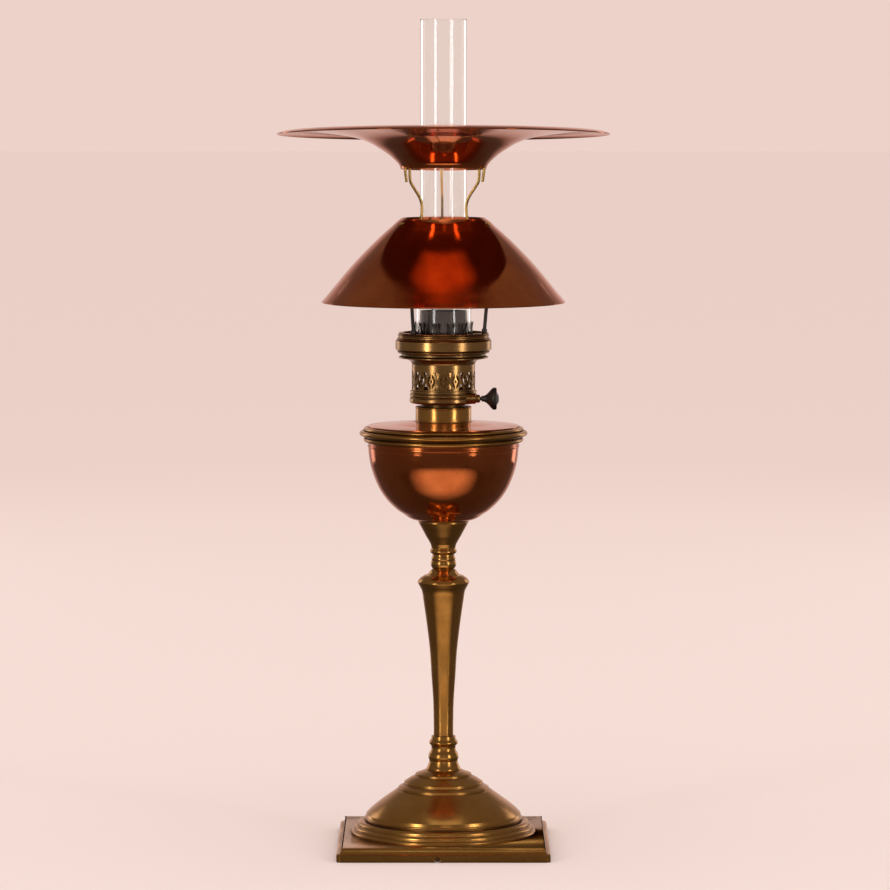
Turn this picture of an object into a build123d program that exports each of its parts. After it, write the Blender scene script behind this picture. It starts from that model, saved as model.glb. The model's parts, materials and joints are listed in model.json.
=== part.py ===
from build123d import *
import math
import os

# Oil lamp: square foot, turned column, copper bowl with a lift-out oil font, round-wick
# burner, glass chimney, and a copper shade and reflector that stack above the flame.
# Millimetres, +Z up, origin at the centre of the base plate's underside.

# ---- Foot and column -------------------------------------------------------------------
plate_width = 178.6          # square base plate, lower tier
plate_height = 11.4
plate_step = 3.8             # how far the upper tier is set in
plate_lower_tier = 6.0
plate_wall = 2.6             # the plate is hollow underneath
plate_corner = 4.0
vent_radius = 2.6            # small round-topped vent in the front edge
vent_height = 1.9            # of its centre
vent_offset = -5.0

foot_radius = 78.1           # turned ring under the dome
foot_height = 12.4
dome_radius = 66.9
dome_height = 41.6
dome_wall = 1.6
knop_radius = 12.7           # small knop at the foot of the column
knop_height = 28.6
shaft_height = 141.0         # tapered column, widest near its top
shaft_foot_radius = 8.3
shaft_head_radius = 21.9
collar_knop_radius = 10.8    # ball knop above the column
collar_knop_height = 22.7
cup_radius = 21.2            # flared cup that carries the bowl
cup_height = 19.7

rod_radius = 4.0             # threaded rod that clamps the whole stem
rod_clearance = 0.3
nut_width = 13.0
nut_height = 6.0
washer_radius = 9.0
washer_thickness = 1.6
weight_radius = 58.0         # cast weight inside the dome
weight_height = 9.0

# ---- Bowl and oil font -----------------------------------------------------------------
bowl_radius = 64.2
bowl_height = 66.6
bowl_wall = 0.9
rim_radius = 67.5
rim_height = 5.1
rim_lip = 4.0                # depth that the rim's lip reaches into the bowl
seat_gap = 0.05              # air between two faces that rest on each other
slip_gap = 0.3               # side clearance of pieces that lift off

font_flange_radius = 71.0
font_flange_height = 8.1
font_wall = 0.8
font_depth = 56.0            # oil reservoir below the flange
font_gap = 3.6               # between the reservoir and the bowl
shoulder_rise = 4.5
collar_radius = 23.8
collar_height = 12.6
collar_wall = 2.4            # of the sleeve that the burner's neck drops into
collar_sleeve = 4.0          # depth of that sleeve below the shoulder

# ---- Burner ----------------------------------------------------------------------------
neck_radius = 18.6
neck_plug = 10.0             # length of the neck inside the collar
neck_reveal = 2.7            # dark gap seen between collar and burner
burner_radius = 28.6
burner_base_height = 10.9
burner_floor = 1.4
fret_radius = 26.7
fret_height = 22.4
fret_wall = 0.9
fret_count = 16
case_step = 1.6              # from the fretwork's outer face in to the rings' bore
flange_radius = 37.8
flange_height = 9.1
gallery_radius = 40.5
gallery_height = 14.0
gallery_bore = 37.2
gallery_vents = 24
holder_height = 14.0         # chimney seat inside the gallery
prong_count = 12
prong_height = 13.0
prong_thickness = 0.8
flame_tube_radius = 19.7
flame_tube_top = 21.7        # above the chimney seat

wick_radius = 13.3
wick_thickness = 2.5
wick_gap = 0.5
wick_proud = 1.0             # wick above its tubes at rest
wick_floor_gap = 8.0         # wick's lower end above the font's floor
tube_wall = 0.8
wick_tube_top = 18.0         # above the chimney seat
wick_slit = 3.4

spindle_radius = 1.5
spindle_running = 0.05
pinion_radius = 3.2
pinion_teeth = 10
pinion_width = 1.5
pinion_spread = 3.0
boss_radius = 4.4
boss_reach = 31.0
knob_radius = 9.4
knob_start = 32.0
knob_length = 14.6
knob_grip = 8.0              # length of spindle inside the knob
press_gap = 0.03             # round the spindle, inside what is pressed on it

# ---- Chimney, shade and reflector ------------------------------------------------------
chimney_radius = 19.65
chimney_height = 266.4
chimney_wall = 1.8
chimney_foot_radius = 23.6
chimney_waist_radius = 16.0

carrier_height = 3.4
carrier_radius = 38.5
carrier_bore = 34.0
rod_foot_radius = 35.5
shade_rod_radius = 1.5
hoop_radius = 43.0
rod_angles = (345, 105, 225)

shade_radius = 102.9
shade_mouth_radius = 35.1
shade_rise = 70.8            # from rim to mouth
shade_rim_above_seat = 29.0  # rim above the carrier ring's seat
shade_wall = 0.8

hook_wire_radius = 1.2
hook_angles = (333, 93, 213)
hook_rise = 49.5             # wire, from the shade's holes to the top of its loop
hook_loop = 4.4              # across the loop
hook_hole_drop = 4.4         # holes below the shade's mouth
hook_hole_gap = 0.4
hook_hole_reach = 7.0        # of the hole's cutter, each way
hook_perch = 4.4             # top of the loop above the reflector's neck edge

reflector_radius = 139.5
reflector_neck_radius = 36.0
reflector_rise = 32.0        # from neck edge to crest
reflector_wall = 0.9
reflector_tilt = 3.0         # it leans on its wires, near side up, in degrees

# ---- Heights of the stack --------------------------------------------------------------
foot_z = plate_height
dome_z = foot_z + foot_height
knop_z = dome_z + dome_height
shaft_z = knop_z + knop_height
collar_knop_z = shaft_z + shaft_height
cup_z = collar_knop_z + collar_knop_height
bowl_z = cup_z + cup_height
rim_z = bowl_z + bowl_height
font_z = rim_z + rim_height + seat_gap
shoulder_z = font_z + font_flange_height
collar_z = shoulder_z + shoulder_rise
neck_z = collar_z + collar_height
burner_z = neck_z + neck_reveal
fret_z = burner_z + burner_base_height
flange_z = fret_z + fret_height
gallery_z = flange_z + flange_height
holder_top = gallery_z + holder_height
carrier_z = gallery_z + gallery_height + seat_gap
chimney_z = holder_top + seat_gap
shade_z = carrier_z + shade_rim_above_seat
shade_top = shade_z + shade_rise
hook_z = shade_top - hook_hole_drop
hook_top = hook_z + hook_rise
reflector_z = hook_top - hook_perch
spindle_z = burner_z + 0.45 * burner_base_height
spindle_y = -(wick_radius + pinion_radius + 0.2)
bearing_x = -(pinion_spread + 5.0)

# ---- Fits worked out from the sizes above ----------------------------------------------
font_bore = bowl_radius - bowl_wall - font_gap
wick_tube_radius = wick_radius + wick_gap + tube_wall
air_tube_radius = wick_radius - wick_thickness - wick_gap


# ---- Helpers ---------------------------------------------------------------------------
standing = (Align.CENTER, Align.CENTER, Align.MIN)
hanging = (Align.CENTER, Align.CENTER, Align.MAX)


def at(point):
    return Vector(point[0], 0, point[1])


def turned(*stretches):
    """Solid of revolution from (radius, height) points. A list among them is a smooth
    curve through its points, starting at the point before it."""
    here = stretches[0]
    edges = []
    for stretch in stretches[1:] + (stretches[0],):
        if isinstance(stretch, list):
            edges.append(Edge.make_spline([at(here)] + [at(p) for p in stretch]))
            here = stretch[-1]
        elif stretch != here:
            edges.append(Edge.make_line(at(here), at(stretch)))
            here = stretch
    return revolve(make_face(Wire(edges)), Axis.Z)


def beside(points, wall):
    """The same smooth curve a wall's thickness to its right, going along the points."""
    line = Edge.make_spline([at(p) for p in points])
    moved = []
    for point in points:
        along = line.tangent_at(line.param_at_point(at(point)))
        moved.append((point[0] + wall * along.Z, point[1] - wall * along.X))
    return moved


def sheet(points, wall):
    """Thin spun sheet: its outer line runs through the points, its wall lies to the right."""
    inner = beside(points, wall)
    return turned(points[0], points[1:], inner[-1], inner[-2::-1])


def tube(radius, bore, low, high):
    return turned((bore, low), (radius, low), (radius, high), (bore, high))


def around(count, start=0.0):
    return [start + index * 360.0 / count for index in range(count)]


def rod_between(start, end, radius):
    line = Edge.make_line(Vector(*start), Vector(*end))
    return sweep(Plane(Vector(*start), z_dir=line.tangent_at(0)) * Circle(radius), line)


# ---- Foot and column -------------------------------------------------------------------
def base_plate():
    lower = Box(plate_width, plate_width, plate_lower_tier, align=standing)
    lower = fillet(lower.edges().filter_by(Axis.Z), plate_corner)
    lower = fillet(lower.faces().sort_by(Axis.Z)[-1].edges(), plate_step * 0.3)
    top_width = plate_width - 2 * plate_step
    upper = Box(top_width, top_width, plate_height, align=standing)
    upper = fillet(upper.edges().filter_by(Axis.Z), plate_corner)
    upper = fillet(upper.faces().sort_by(Axis.Z)[-1].edges(), plate_wall * 0.5)
    room_width = top_width - 2 * plate_wall
    room = Box(room_width, room_width, plate_height - plate_wall, align=standing)
    hole = Cylinder(rod_radius + rod_clearance, 3 * plate_height)
    drill = Rot(90, 0, 0) * Cylinder(vent_radius, plate_width / 4)
    vent = Pos(vent_offset, -plate_width / 2, vent_height) * drill
    return lower + upper - room - hole - vent


def foot_ring():
    bead_top = foot_z + 0.82 * foot_height
    return turned(
        (dome_radius - 6, foot_z), (foot_radius, foot_z), (foot_radius, foot_z + 1.4),
        (foot_radius - 4.8, foot_z + 1.8),
        [(foot_radius - 3.5, foot_z + 0.45 * foot_height), (foot_radius - 6.6, bead_top)],
        (dome_radius - 2.6, bead_top), (dome_radius - 2.6, dome_z), (dome_radius - 6, dome_z))


def dome_line():
    rise = dome_height
    return [(dome_radius - 1.7, dome_z + 5.7), (0.85 * dome_radius, dome_z + 0.295 * rise),
            (0.6 * dome_radius, dome_z + 0.57 * rise), (0.45 * dome_radius, dome_z + 0.755 * rise),
            (0.33 * dome_radius, dome_z + 0.91 * rise), (0.221 * dome_radius, dome_z + rise)]


def foot_dome():
    outer = dome_line()
    inner = beside(outer, -dome_wall)
    bore = rod_radius + rod_clearance
    return turned(
        (dome_radius, dome_z), (dome_radius, dome_z + 1.0), outer[0], outer[1:],
        (bore, knop_z), (bore, inner[-1][1]), inner[-1], inner[-2::-1], (inner[0][0], dome_z))


def foot_weight():
    return tube(weight_radius, rod_radius + rod_clearance, foot_z, foot_z + weight_height)


def foot_knop():
    bore = rod_radius + rod_clearance
    z = knop_z
    h = knop_height
    return turned(
        (bore, z), (0.221 * dome_radius, z),
        [(knop_radius - 0.7, z + 0.25 * h), (knop_radius, z + 0.4 * h),
         (knop_radius - 2.3, z + 0.6 * h), (knop_radius - 2.2, z + 0.71 * h)],
        [(knop_radius - 0.5, z + 0.81 * h), (knop_radius - 2.4, z + 0.93 * h)],
        (shaft_foot_radius + 1.8, z + h), (bore, z + h))


def shaft():
    bore = rod_radius + rod_clearance
    z = shaft_z
    h = shaft_height
    lip = shaft_head_radius
    foot = shaft_foot_radius
    swell = lip - foot
    return turned(
        (bore, z), (foot, z), (foot, z + 0.06 * h),
        [(foot + 0.03 * swell, z + 0.21 * h), (foot + 0.14 * swell, z + 0.37 * h),
         (foot + 0.24 * swell, z + 0.52 * h), (foot + 0.42 * swell, z + 0.67 * h),
         (foot + 0.64 * swell, z + 0.82 * h), (lip - 1.5, z + h - 13.0)],
        (lip, z + h - 10.2), (lip, z + h - 9.2),
        [(lip - 1.9, z + h - 6.4), (0.68 * lip, z + h - 3.6)],
        (0.6 * lip, z + h - 3.6), (0.5 * lip, z + h), (bore, z + h))


def column_knop():
    bore = rod_radius + rod_clearance
    z = collar_knop_z
    h = collar_knop_height
    r = collar_knop_radius
    return turned(
        (bore, z), (0.5 * shaft_head_radius, z), (r - 1.7, z + 0.07 * h),
        [(r, z + 0.28 * h), (r - 1.3, z + 0.4 * h)],
        [(r - 0.6, z + 0.46 * h), (r - 1.5, z + 0.57 * h)],
        [(r + 0.6, z + 0.72 * h), (r - 0.5, z + 0.86 * h)],
        (r + 0.2, z + h), (bore, z + h))


def bowl_cup():
    bore = rod_radius + rod_clearance
    z = cup_z
    h = cup_height
    r = cup_radius
    return turned(
        (bore, z), (collar_knop_radius + 0.2, z), (0.68 * r, z + 0.3 * h),
        [(0.8 * r, z + 0.54 * h), (0.9 * r, z + 0.75 * h), (r, z + h - 1.6)],
        (r, z + h), (bore, z + h))


def nut_solid(low):
    prism = extrude(RegularPolygon(nut_width / 2, 6, major_radius=False), nut_height)
    return Pos(0, 0, low) * (prism - Cylinder(rod_radius, 4 * nut_height))


def tie_rod():
    low = plate_height - plate_wall - washer_thickness - nut_height - 0.6
    high = bowl_z + bowl_wall + washer_thickness + nut_height + 0.6
    return tube(rod_radius, 0, low, high)


# ---- Bowl and oil font -----------------------------------------------------------------
def bowl():
    z = bowl_z
    h = bowl_height
    r = bowl_radius
    outer = [(cup_radius, z), (0.51 * r, z + 0.07 * h), (0.737 * r, z + 0.26 * h),
             (0.896 * r, z + 0.517 * h), (0.974 * r, z + 0.77 * h), (r, z + h)]
    inner = beside(outer, -bowl_wall)
    bore = rod_radius + rod_clearance
    return turned(
        (bore, z), outer[0], outer[1:], (r - bowl_wall, z + h), inner[-2::-1],
        (bore, z + bowl_wall))


def bowl_rim():
    z = rim_z
    lip = bowl_radius - bowl_wall - 0.5
    bore = font_bore + 0.8
    return turned(
        (bore, z - rim_lip), (lip, z - rim_lip), (lip, z), (bowl_radius + 0.6, z),
        [(rim_radius, z + 0.55 * rim_height), (rim_radius - 1.2, z + 0.86 * rim_height)],
        (rim_radius - 1.8, z + rim_height), (bore, z + rim_height))


def font_reservoir():
    low = font_z - font_depth
    r = font_bore
    h = font_depth
    outer = [(0.553 * r, low), (0.77 * r, low + 0.16 * h), (0.905 * r, low + 0.39 * h),
             (0.98 * r, low + 0.68 * h), (r, low + 0.9 * h)]
    inner = beside(outer, -font_wall)
    return turned(
        (0, low), outer[0], outer[1:], (r, font_z), (r - font_wall, font_z), inner[-1], inner[-2::-1],
        (0, low + font_wall))


def font_flange():
    z = font_z
    r = font_flange_radius
    h = font_flange_height
    return turned(
        (font_bore - 2, z), (r - 4, z), [(r, z + 0.3 * h), (r - 2.2, z + 0.6 * h)],
        (r - 4.6, z + 0.63 * h), [(r - 3.8, z + 0.8 * h), (r - 5, z + 0.94 * h)],
        (r - 6.5, z + h), (font_bore - 2, z + h))


def font_shoulder():
    z = shoulder_z
    r = font_flange_radius - 7
    hole = neck_radius + slip_gap + collar_wall
    edge = collar_radius + 0.7
    span = r - edge
    top = [(r, z + bowl_wall), (edge + 0.77 * span, z + 0.36 * shoulder_rise),
           (edge + 0.49 * span, z + 0.5 * shoulder_rise), (edge + 0.24 * span, z + 0.76 * shoulder_rise),
           (edge, z + shoulder_rise)]
    under = beside(top, -bowl_wall)
    return turned(
        (r, z), top[0], top[1:], (hole, collar_z), (hole, collar_z - bowl_wall), under[-1],
        under[-2:0:-1])


def font_collar():
    bore = neck_radius + slip_gap
    z = collar_z
    return turned(
        (bore, z - collar_sleeve), (bore + collar_wall, z - collar_sleeve), (bore + collar_wall, z),
        (collar_radius, z),
        (collar_radius, neck_z - 0.6), (collar_radius - 0.6, neck_z), (bore, neck_z))


# ---- Burner ----------------------------------------------------------------------------
def burner_neck():
    return tube(neck_radius, wick_tube_radius, neck_z - neck_plug, burner_z)


def boss_hole(radius):
    reach = burner_radius + 12
    return Pos(reach / 2, spindle_y, spindle_z) * Rot(0, 90, 0) * Cylinder(radius, reach)


def burner_base():
    z = burner_z
    h = burner_base_height
    r = burner_radius
    ring = turned(
        (wick_tube_radius, z), (r - 1.2, z), (r, z + 0.11 * h), (r, z + 0.4 * h), (r - 1, z + 0.48 * h),
        [(r - 0.1, z + 0.62 * h), (r - 1.1, z + 0.77 * h)], (r - 0.4, z + 0.88 * h), (r - 0.4, z + h),
        (fret_radius - 1.8, z + h), (fret_radius - 1.8, z + burner_floor),
        (wick_tube_radius, z + burner_floor))
    return ring - boss_hole(boss_radius + 0.05)


def burner_fret():
    band = tube(fret_radius, fret_radius - fret_wall, fret_z, flange_z)
    middle = fret_z + 0.44 * fret_height
    half = 0.34 * fret_height
    width = 0.3 * math.pi * fret_radius / fret_count
    leaf = make_face(Wire([
        Edge.make_three_point_arc((0, -width, -half), (0, 0, 0), (0, -width, half)),
        Edge.make_three_point_arc((0, -width, half), (0, -2 * width, 0), (0, -width, -half))]))
    cutter = Pos(0, width, 0) * extrude(leaf, fret_radius + 2, dir=(1, 0, 0))
    stud = Rot(0, 90, 0) * Cylinder(0.7, fret_radius + 2, align=standing)
    cuts = []
    for angle in around(fret_count):
        cuts.append(Pos(0, 0, middle) * Rot(0, 0, angle) * cutter)
        beside_angle = angle + 180.0 / fret_count
        for side in (-0.55, 0.55):
            cuts.append(Pos(0, 0, middle + side * half) * Rot(0, 0, beside_angle) * stud)
    return band - cuts


def burner_flange():
    z = flange_z
    h = flange_height
    r = flange_radius
    return turned(
        (fret_radius - case_step, z), (fret_radius, z),
        [(fret_radius + 2.2, z + 0.34 * h), (r - 3, z + 0.5 * h), (r - 0.6, z + 0.56 * h)],
        (r, z + 0.6 * h), (r - 0.2, z + 0.68 * h), (r - 1.8, z + 0.76 * h), (r - 1.8, z + h),
        (fret_radius - case_step, z + h))


def gallery():
    z = gallery_z
    h = gallery_height
    r = gallery_radius
    floor = 1.2
    ring = turned(
        (fret_radius - case_step, z), (r - 1.9, z), (r - 0.9, z + 0.06 * h), (r - 1.2, z + 0.17 * h),
        (r, z + 0.23 * h), (r, z + 0.79 * h), (r - 2.1, z + 0.86 * h), (r - 2.1, z + h),
        (gallery_bore, z + h), (gallery_bore, z + floor), (fret_radius - case_step, z + floor))
    vent_circle = (fret_radius + gallery_bore) / 2 - 0.6
    vents = [Rot(0, 0, a) * Pos(vent_circle, 0, z) * Cylinder(1.5, 4 * floor) for a in around(gallery_vents)]
    return ring - vents


def chimney_holder():
    bore = chimney_foot_radius - chimney_wall + 0.1
    inside = chimney_foot_radius + slip_gap
    body = tube(fret_radius - case_step, bore, gallery_z, holder_top)
    crown = tube(inside + prong_thickness, inside, holder_top - 1, holder_top + prong_height)
    gap = math.pi * inside / prong_count * 0.8
    slot = Box(2 * inside, gap, prong_height, align=(Align.MIN, Align.CENTER, Align.MIN))
    slots = [Pos(0, 0, holder_top + 1.5) * Rot(0, 0, a) * slot for a in around(prong_count)]
    slim = tube(inside + prong_thickness, inside, holder_top - 1, holder_top)
    return body + (crown - slots) + slim


def flame_tube():
    low = gallery_z
    high = holder_top + flame_tube_top
    wide = chimney_foot_radius - chimney_wall - 0.4
    wall = 0.6
    return turned(
        (wide - wall, low), (wide, low), (flame_tube_radius, high), (flame_tube_radius - wall, high))


def wick_tube():
    low = neck_z - neck_plug
    high = holder_top + wick_tube_top
    pipe = tube(wick_tube_radius, wick_tube_radius - tube_wall, low, high)
    half = pinion_spread + pinion_width / 2 + 0.8
    window = Pos(0, spindle_y, spindle_z) * Box(2 * half, 2 * (pinion_radius + 1), 2 * (pinion_radius + 1))
    return pipe - window - air_web()


def air_web():
    outer = wick_tube_radius
    inner = air_tube_radius - tube_wall / 2
    low = fret_z + 2
    high = flange_z - 4
    return Pos(0, (outer + inner) / 2, (low + high) / 2) * Box(wick_slit - 1.4, outer - inner, high - low)


def air_tube():
    low = burner_z + 2
    high = holder_top + wick_tube_top
    pipe = tube(air_tube_radius, air_tube_radius - tube_wall, low, high) + air_web()
    bore = air_tube_radius - tube_wall
    inlet = Pos(0, air_tube_radius, (fret_z + flange_z) / 2) * Box(0.8, 3 * wick_tube_radius, 12)
    floor = tube(bore + 0.1, 0, low, low + tube_wall)
    return pipe + floor - inlet


def spindle_bearing():
    foot = burner_z + burner_floor
    post_height = spindle_z + 4 - foot
    post = Pos(bearing_x, spindle_y - 0.4, foot + post_height / 2) * Box(1.6, 6.4, post_height)
    hole = Pos(0, spindle_y, spindle_z) * Rot(0, 90, 0) * Cylinder(spindle_radius + spindle_running, 60)
    return post - hole


def spindle_boss():
    inner_end = fret_radius - 8
    return along_spindle(tube(boss_radius, spindle_radius + spindle_running, inner_end, boss_reach))


def along_spindle(shape):
    return Pos(0, spindle_y, spindle_z) * Rot(0, 90, 0) * shape


# ---- Wick and its winder ---------------------------------------------------------------
def winder_spindle():
    return along_spindle(tube(spindle_radius, 0, bearing_x - 2, knob_start + knob_grip))


def winder_pinions():
    root = pinion_radius - 0.8
    tooth = Box(1.6, 0.7, pinion_width)
    wheel = Cylinder(root, pinion_width)
    for angle in around(pinion_teeth):
        wheel += Rot(0, 0, angle) * Pos(root, 0, 0) * tooth
    wheel -= Cylinder(spindle_radius + press_gap, 3 * pinion_width)
    return [along_spindle(Pos(0, 0, side * pinion_spread) * wheel) for side in (-1, 1)]


def winder_knob():
    z = knob_start
    bore = spindle_radius + press_gap
    r = knob_radius
    h = knob_length
    return along_spindle(turned(
        (bore, z), (2.6, z), [(0.38 * r, z + 0.24 * h), (0.76 * r, z + 0.52 * h), (0.98 * r, z + 0.68 * h)],
        (r, z + 0.72 * h), [(0.95 * r, z + 0.85 * h), (0.69 * r, z + 0.97 * h), (0.42 * r, z + h)],
        (0, z + h), (0, z + knob_grip + 0.1), (bore, z + knob_grip + 0.1)))


def wick():
    low = font_z - font_depth + font_wall + wick_floor_gap
    high = holder_top + wick_tube_top + wick_proud
    slit = Pos(0, wick_radius, (low + high) / 2) * Box(wick_slit, wick_radius * 2, high - low + 2)
    return tube(wick_radius, wick_radius - wick_thickness, low, high) - slit


# ---- Chimney ---------------------------------------------------------------------------
def chimney():
    z = chimney_z
    foot = chimney_foot_radius
    r = chimney_radius
    w = chimney_wall
    top = z + chimney_height
    waist = [(foot, z + 26), (foot - 3.6, z + 34), (chimney_waist_radius, z + 42),
             (r - 1.6, z + 54), (r, z + 68)]
    inner = beside(waist, -w)
    return turned(
        (foot, z), waist[0], waist[1:], (r, top), (r - w, top), inner[-1], inner[-2::-1], (foot - w, z))


# ---- Shade carrier, shade and reflector ------------------------------------------------
def shade_line():
    mouth = shade_mouth_radius
    span = shade_radius - mouth
    z = shade_z
    h = shade_rise
    return [(mouth, z + h), (mouth + 0.072 * span, z + 0.947 * h), (mouth + 0.183 * span, z + 0.855 * h),
            (mouth + 0.308 * span, z + 0.745 * h), (mouth + 0.588 * span, z + 0.474 * h),
            (mouth + 0.824 * span, z + 0.201 * h), (mouth + 0.919 * span, z + 0.096 * h),
            (shade_radius, z)]


def shade_height_at(radius):
    """Height of the shade's outer face on the straight stretch that the hoop meets."""
    line = shade_line()
    start = line[1]
    end = line[2]
    return start[1] + (end[1] - start[1]) * (radius - start[0]) / (end[0] - start[0])


def hoop_height():
    """Centre of the carrier's hoop, just under the shade's inner face."""
    away = shade_rod_radius + slip_gap + shade_wall
    slope = shade_height_at(hoop_radius + 1) - shade_height_at(hoop_radius)
    return shade_height_at(hoop_radius) - away * math.hypot(1, slope)


def carrier_ring():
    lip = gallery_bore - slip_gap
    return turned(
        (carrier_bore, carrier_z - 3), (lip, carrier_z - 3), (lip, carrier_z), (carrier_radius, carrier_z),
        (carrier_radius, carrier_z + carrier_height), (carrier_bore, carrier_z + carrier_height))


def carrier_hoop():
    return Pos(0, 0, hoop_height()) * Torus(hoop_radius, shade_rod_radius)


def carrier_rods():
    low = carrier_z + carrier_height
    rod = rod_between((rod_foot_radius, 0, low - 1), (hoop_radius, 0, hoop_height()), shade_rod_radius)
    below = Pos(0, 0, low - 5) * Cylinder(2 * carrier_radius, 10, align=hanging)
    rod = rod - Pos(0, 0, 5) * below - carrier_hoop()
    return [Rot(0, 0, angle) * rod for angle in rod_angles]


def lower_shade():
    shell = sheet(shade_line(), shade_wall)
    eight_sided = extrude(RegularPolygon(hook_wire_radius + hook_hole_gap, 8), hook_hole_reach, both=True)
    hole = Pos(shade_mouth_radius + 6, 0, hook_z) * Rot(0, 90, 0) * eight_sided
    for angle in hook_angles:
        shell = shell - Rot(0, 0, angle) * hole
    return shell


def shade_hooks():
    near = chimney_radius + hook_wire_radius + 0.6
    inner_leg = reflector_neck_radius - 2.2
    crown = hook_top - hook_wire_radius
    path = FilletPolyline(
        (shade_mouth_radius + 8.3, 0, hook_z), (near + 5.6, 0, hook_z), (near, 0, hook_z + 7),
        (near, 0, hook_z + 17), (inner_leg - 0.6, 0, crown - 15), (inner_leg, 0, crown),
        (inner_leg + hook_loop, 0, crown), (inner_leg + 2.8, 0, crown - 13.5),
        radius=[5, 6, 7, 6, 2.1, 2.1])
    wire = sweep(Plane(path @ 0, z_dir=path % 0) * Circle(hook_wire_radius), path)
    return [Rot(0, 0, angle) * wire for angle in hook_angles]


def reflector():
    neck = reflector_neck_radius
    span = reflector_radius - neck
    z = reflector_z
    h = reflector_rise
    outer = [(neck, z), (neck + 0.018 * span, z + 0.14 * h), (neck + 0.05 * span, z + 0.25 * h),
             (neck + 0.176 * span, z + 0.56 * h), (neck + 0.305 * span, z + 0.77 * h),
             (neck + 0.45 * span, z + 0.885 * h), (neck + 0.62 * span, z + 0.96 * h),
             (neck + 0.79 * span, z + h), (neck + 0.92 * span, z + 0.98 * h),
             (reflector_radius, z + 0.905 * h)]
    shell = sheet(outer, -reflector_wall)
    pivot = z + 0.905 * h
    shell = Pos(0, 0, pivot) * Rot(-reflector_tilt, 0, 0) * Pos(0, 0, -pivot) * shell
    slot_low = z - 10
    slot_high = hook_top + 0.2
    slot = Pos(neck, 0, (slot_low + slot_high) / 2) * Box(16, 2 * hook_wire_radius + 0.8, slot_high - slot_low)
    return shell - [Rot(0, 0, angle) * slot for angle in hook_angles]


nut_low = plate_height - plate_wall - washer_thickness - nut_height
nut_high = bowl_z + bowl_wall + washer_thickness
washer_bore = rod_radius + 0.2
washer_heights = (plate_height - plate_wall - washer_thickness, bowl_z + bowl_wall)

nodes = {
    "base_plate": base_plate(),
    "foot_ring": foot_ring(),
    "foot_dome": foot_dome(),
    "foot_weight": foot_weight(),
    "foot_knop": foot_knop(),
    "column_shaft": shaft(),
    "column_knop": column_knop(),
    "bowl_cup": bowl_cup(),
    "tie_rod": tie_rod(),
    "tie_rod_nuts": [nut_solid(nut_low), nut_solid(nut_high)],
    "tie_rod_washers": [tube(washer_radius, washer_bore, z, z + washer_thickness) for z in washer_heights],
    "bowl": bowl(),
    "bowl_rim": bowl_rim(),
    "font_reservoir": font_reservoir(),
    "font_flange": font_flange(),
    "font_shoulder": font_shoulder(),
    "font_collar": font_collar(),
    "burner_neck": burner_neck(),
    "burner_base": burner_base(),
    "burner_fret": burner_fret(),
    "burner_flange": burner_flange(),
    "burner_gallery": gallery(),
    "chimney_holder": chimney_holder(),
    "flame_tube": flame_tube(),
    "wick_tube": wick_tube(),
    "air_tube": air_tube(),
    "spindle_bearing": spindle_bearing(),
    "spindle_boss": spindle_boss(),
    "winder_spindle": winder_spindle(),
    "winder_pinions": winder_pinions(),
    "winder_knob": winder_knob(),
    "wick": wick(),
    "chimney": chimney(),
    "carrier_ring": carrier_ring(),
    "carrier_rods": carrier_rods(),
    "carrier_hoop": carrier_hoop(),
    "lower_shade": lower_shade(),
    "shade_hooks": shade_hooks(),
    "reflector": reflector(),
}

os.makedirs("parts", exist_ok=True)
for name, shape in nodes.items():
    whole = Compound(children=shape) if isinstance(shape, list) else shape
    export_step(whole, f"parts/{name}.step")
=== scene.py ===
import bpy
import bmesh
import json
import math
from mathutils import Matrix, Vector


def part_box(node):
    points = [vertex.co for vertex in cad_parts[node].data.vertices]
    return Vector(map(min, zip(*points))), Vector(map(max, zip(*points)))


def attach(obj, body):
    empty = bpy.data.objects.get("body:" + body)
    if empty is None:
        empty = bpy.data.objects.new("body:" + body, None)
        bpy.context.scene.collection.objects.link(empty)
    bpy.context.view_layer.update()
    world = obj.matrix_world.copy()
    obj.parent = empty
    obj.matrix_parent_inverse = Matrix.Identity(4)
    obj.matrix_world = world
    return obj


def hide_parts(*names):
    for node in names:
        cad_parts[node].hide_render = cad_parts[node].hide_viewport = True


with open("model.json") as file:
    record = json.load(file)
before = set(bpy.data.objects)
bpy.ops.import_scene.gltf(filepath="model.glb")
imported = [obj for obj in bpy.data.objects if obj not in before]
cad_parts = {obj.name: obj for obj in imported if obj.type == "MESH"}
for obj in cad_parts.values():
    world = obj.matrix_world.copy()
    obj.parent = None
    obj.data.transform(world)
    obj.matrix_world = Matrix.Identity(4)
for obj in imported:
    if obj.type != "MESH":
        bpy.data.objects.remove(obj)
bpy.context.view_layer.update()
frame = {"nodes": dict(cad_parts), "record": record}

MM = 0.001
UP = Vector((0, 0, 1))
ORIGIN = Vector((0, 0, 0))
FULL_TURN = 2 * math.pi
WELD = 0.000004
SHARP_ANGLE = 32
PALE = (0.847, 0.645, 0.584, 1)
DIM = (0.06, 0.05, 0.045, 1)
CARD = (0.80, 0.68, 0.60, 1)


# ---- Camera and lights -----------------------------------------------------------------
def aim(thing, place, target):
    thing.location = place
    thing.rotation_euler = (Vector(target) - Vector(place)).to_track_quat("-Z", "Y").to_euler()
    bpy.context.scene.collection.objects.link(thing)


def make_camera():
    distance = 4.056
    down = math.radians(4.70)
    look_at = Vector((1.3 * MM, 0, 0.3415))
    data = bpy.data.cameras.new("camera")
    data.lens = 194.2
    data.sensor_width = 36
    data.clip_end = 60
    camera = bpy.data.objects.new("camera", data)
    aim(camera, look_at + Vector((0, -distance * math.cos(down), distance * math.sin(down))), look_at)
    bpy.context.scene.camera = camera


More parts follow.
